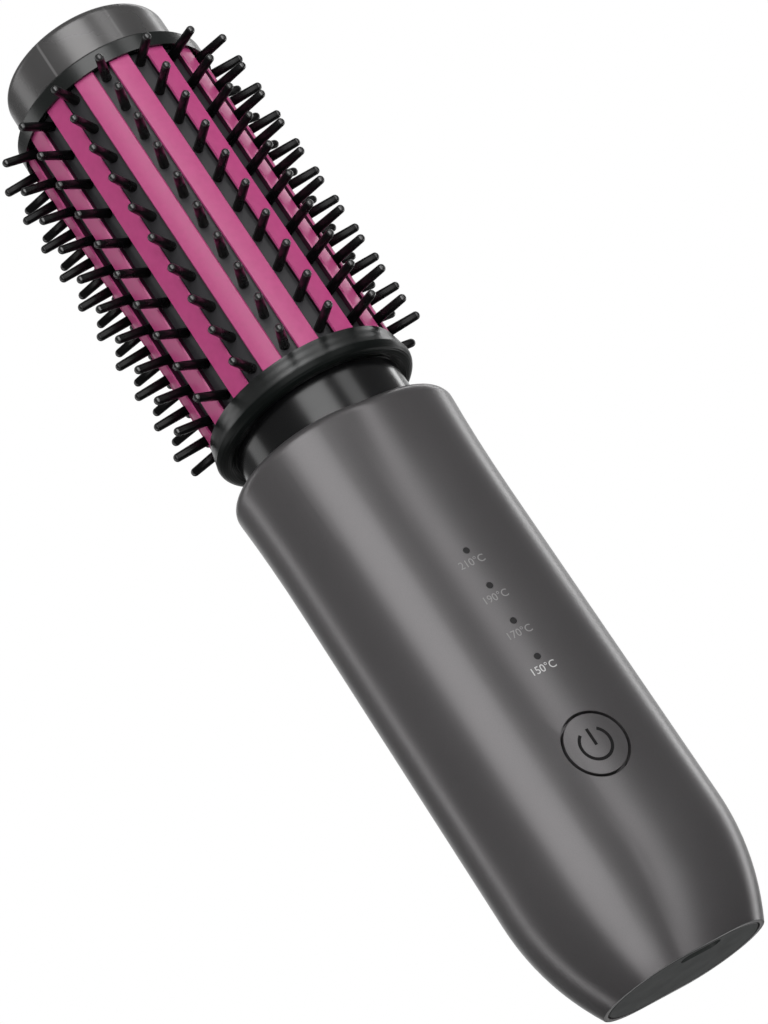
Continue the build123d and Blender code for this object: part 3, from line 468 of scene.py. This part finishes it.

# ------------------------------------------------------------------ cool tip cap
# Thin-walled cup with the same metallic lacquer as the handle, to hold while the barrel is hot. Two thin
# lines up its side are painted lighter than the lacquer.
cap_paint = screen(93, 92, 92)
side_start, side_full = 17.5 * mm, 18.5 * mm  # radii over which the top turns into the side
pale_line_core, pale_line_edge = math.radians(0.5), math.radians(1.1)  # each side of a line's middle
cap_coat = finish("cap_coat", cap_paint, 0.28, metallic=0.6, tone=0.05, gloss=0.03, depth=0.002)
cap_tree = cap_coat.tree
from_back = worked_out(cap_tree, "ARCTAN2", along(cap_coat, "X"), along(cap_coat, "Y"))
on_side = ramp(cap_tree, radius_output(cap_coat), side_start, side_full)
cap_tint = cap_coat.tint
# Each line is painted lighter than the lacquer, on the side only.
for pale_line_angle, pale_line_tone in ((-47.5, 2.2), (2.0, 1.3)):
    pale_line_bearing = math.radians(pale_line_angle)  # from the front
    direction = math.atan2(math.sin(pale_line_bearing), -math.cos(pale_line_bearing))
    away = worked_out(cap_tree, "ABSOLUTE", worked_out(cap_tree, "SUBTRACT", from_back, direction))
    near_pale_line = ramp(cap_tree, away, pale_line_core, pale_line_edge, 1.0, 0.0)
    on_pale_line = worked_out(cap_tree, "MULTIPLY", near_pale_line, on_side)
    cap_tint = blend_colours(cap_tree, on_pale_line, cap_tint, scaled(cap_paint, pale_line_tone))
cap_tree.links.new(cap_tint, cap_coat.shader.inputs["Base Color"])
dress(cap_coat, "cool_tip_cap")

# ------------------------------------------------------------------ floor
# The brush stands on its flat end on a pale sheet that fades into the backdrop. The sheet is cut out
# under the end, and neither gloss nor what looks at it from below sees it.
floor_hole = 13.25 * mm  # radius of the hole's two round sides, with the handle's flat between them
hole_sides = 64
floor_reach = 3.0  # in metres, as the fade below
floor_grey = (0.86, 0.86, 0.86, 1)
fade_start, fade_end = 0.3, 0.75
floor = bmesh.new()
rim = bmesh.ops.create_circle(floor, segments=hole_sides, radius=floor_hole)["verts"]
for vert in rim:
    vert.co.x += math.copysign(front_half, vert.co.x)
sheet = bmesh.ops.extrude_edge_only(floor, edges=floor.edges[:])["geom"]
outer = [part for part in sheet if isinstance(part, bmesh.types.BMVert)]
for vert in outer:
    vert.co = vert.co.normalized() * floor_reach
bmesh.ops.recalc_face_normals(floor, faces=floor.faces)
if sum(face.normal.z for face in floor.faces) < 0:
    bmesh.ops.reverse_faces(floor, faces=floor.faces)
floor_mesh = bpy.data.meshes.new("floor")
floor.to_mesh(floor_mesh)
floor.free()
floor_paper = bpy.data.materials.new("floor_paper")
floor_paper.use_nodes = True
paper = floor_paper.node_tree
paper.nodes.remove(paper.nodes["Principled BSDF"])
pale = add_node(paper, "ShaderNodeBsdfDiffuse", {"Color": floor_grey}).outputs[0]
clear = add_node(paper, "ShaderNodeBsdfTransparent").outputs[0]
behind = add_node(paper, "ShaderNodeNewGeometry").outputs["Backfacing"]
mirrored = add_node(paper, "ShaderNodeLightPath").outputs["Is Glossy Ray"]
place = add_node(paper, "ShaderNodeTexCoord").outputs["Object"]
reach = add_node(paper, "ShaderNodeVectorMath", {0: place}, operation="LENGTH").outputs["Value"]
faded = ramp(paper, reach, fade_start, fade_end)
open_part = worked_out(paper, "MAXIMUM", worked_out(paper, "MAXIMUM", behind, mirrored), faded)
cover = add_node(paper, "ShaderNodeMixShader", {0: open_part, 1: pale, 2: clear}).outputs[0]
paper.links.new(cover, paper.nodes["Material Output"].inputs["Surface"])
floor_mesh.materials.append(floor_paper)
floor_piece = bpy.data.objects.new("floor", floor_mesh)
bpy.context.scene.collection.objects.link(floor_piece)

# ------------------------------------------------------------------ camera
# A long lens a little over half a metre away, which looks up at the brush from its left front and is
# turned so that the tip leans to the left.
view_bearing = math.radians(-29.25)
view_rise = math.radians(-20.6)
view_roll = math.radians(-33.55)
view_distance = 0.58
view_height = 113.1 * mm
view_aside = 0.6 * mm
lens, film_width = 98.4, 36.0
nearest, farthest = 0.05, 50.0
back = Vector(
    (
        math.sin(view_bearing) * math.cos(view_rise),
        -math.cos(view_bearing) * math.cos(view_rise),
        math.sin(view_rise),
    )
)
upright = (-back).to_track_quat("-Z", "Y")
camera = bpy.data.objects.new("camera", bpy.data.cameras.new("camera"))
bpy.context.scene.collection.objects.link(camera)
camera.rotation_mode = "QUATERNION"
camera.rotation_quaternion = upright @ Quaternion((0, 0, 1), view_roll)
camera.location = Vector((0, 0, view_height)) + upright @ Vector((view_aside, 0, 0)) + back * view_distance
camera.data.lens = lens
camera.data.sensor_width = film_width
camera.data.clip_start = nearest
camera.data.clip_end = farthest
bpy.context.scene.camera = camera

# ------------------------------------------------------------------ light
# Tall soft boxes stand round the brush. The handle and the barrel have three each that light nothing
# else, and both share one at the right. A plain studio fills in. Its white backdrop lies behind the
# brush, so that gloss shows it there and the dimmer room in front.
box_height, box_distance, box_middle = 3.2, 1.2, 0.2
backdrop_start, backdrop_full = 0.8, 0.97  # how straight behind a direction lies, where 1 is right behind
plain_fill, gloss_fill = 0.35, 0.15  # the room's level as a light and in gloss


def soft_box(name, bearing, width, level):
    """A tall lamp that faces the brush, seen by its gloss at this level, where white paper is 1."""
    lamp_data = bpy.data.lights.new(name, "AREA")
    lamp_data.shape = "RECTANGLE"
    lamp_data.size = width
    lamp_data.size_y = box_height
    lamp_data.energy = 4 * width * box_height * level
    lamp_object = bpy.data.objects.new(name, lamp_data)
    bpy.context.scene.collection.objects.link(lamp_object)
    angle = math.radians(bearing)
    outward = Vector((math.sin(angle), -math.cos(angle), 0))
    lamp_object.location = outward * box_distance + Vector((0, 0, box_middle))
    lamp_object.rotation_mode = "QUATERNION"
    lamp_object.rotation_quaternion = (-outward).to_track_quat("-Z", "Y")
    lamp_object.visible_camera = False
    return lamp_object


lit_as_handle = bpy.data.collections.new("lit_as_handle")
lit_as_barrel = bpy.data.collections.new("lit_as_barrel")
handle_pieces = ("handle_sleeve", "power_button", "light_guide", "end_plate", "charging_socket")
handle_marks = ("temperature", "power_symbol")
for piece in bpy.context.scene.objects:
    if piece.type != "MESH":
        continue
    with_handle = piece.name.startswith((*handle_pieces, *handle_marks, "floor"))
    (lit_as_handle if with_handle else lit_as_barrel).objects.link(piece)
# Bearings are in degrees from the front toward the right, widths in metres.
for group, side, bearing, width, level in (
    (lit_as_handle, "key", -33.5, 0.96, 2.45),
    (lit_as_handle, "front", 22, 0.3, 2.25),
    (lit_as_handle, "left", -133, 0.18, 2.4),
    (lit_as_barrel, "key", -19, 0.84, 2.5),
    (lit_as_barrel, "front", 25, 0.42, 1.35),
    (lit_as_barrel, "left", -121, 0.5, 1.1),
):
    box = soft_box(f"{side}_box", bearing, width, level)
    box.light_linking.receiver_collection = group
soft_box("right_box", bearing=106, width=0.22, level=3.2)

world = bpy.data.worlds.new("studio")
bpy.context.scene.world = world
world.use_nodes = True
studio = world.node_tree
room = studio.nodes["Background"]
toward = add_node(studio, "ShaderNodeTexCoord").outputs["Generated"]
straight_behind = {0: toward, 1: tuple(-back)}
facing = add_node(studio, "ShaderNodeVectorMath", straight_behind, operation="DOT_PRODUCT")
backdrop = ramp(studio, facing.outputs["Value"], backdrop_start, backdrop_full)
rays = add_node(studio, "ShaderNodeLightPath").outputs
reflected = worked_out(studio, "MAXIMUM", rays["Is Glossy Ray"], rays["Is Transmission Ray"])
in_gloss = worked_out(studio, "MULTIPLY", reflected, backdrop)
seen_white = worked_out(studio, "MAXIMUM", rays["Is Camera Ray"], in_gloss)
fill = ramp(studio, reflected, 0.0, 1.0, plain_fill, gloss_fill)
strength = add_node(studio, "ShaderNodeMix", {0: seen_white, 2: fill, 3: 1.0}, data_type="FLOAT")
room.inputs["Color"].default_value = (1, 1, 1, 1)
studio.links.new(strength.outputs[0], room.inputs["Strength"])

# ------------------------------------------------------------------ picture
# Plain view settings.
bpy.context.scene.view_settings.view_transform = "Standard"
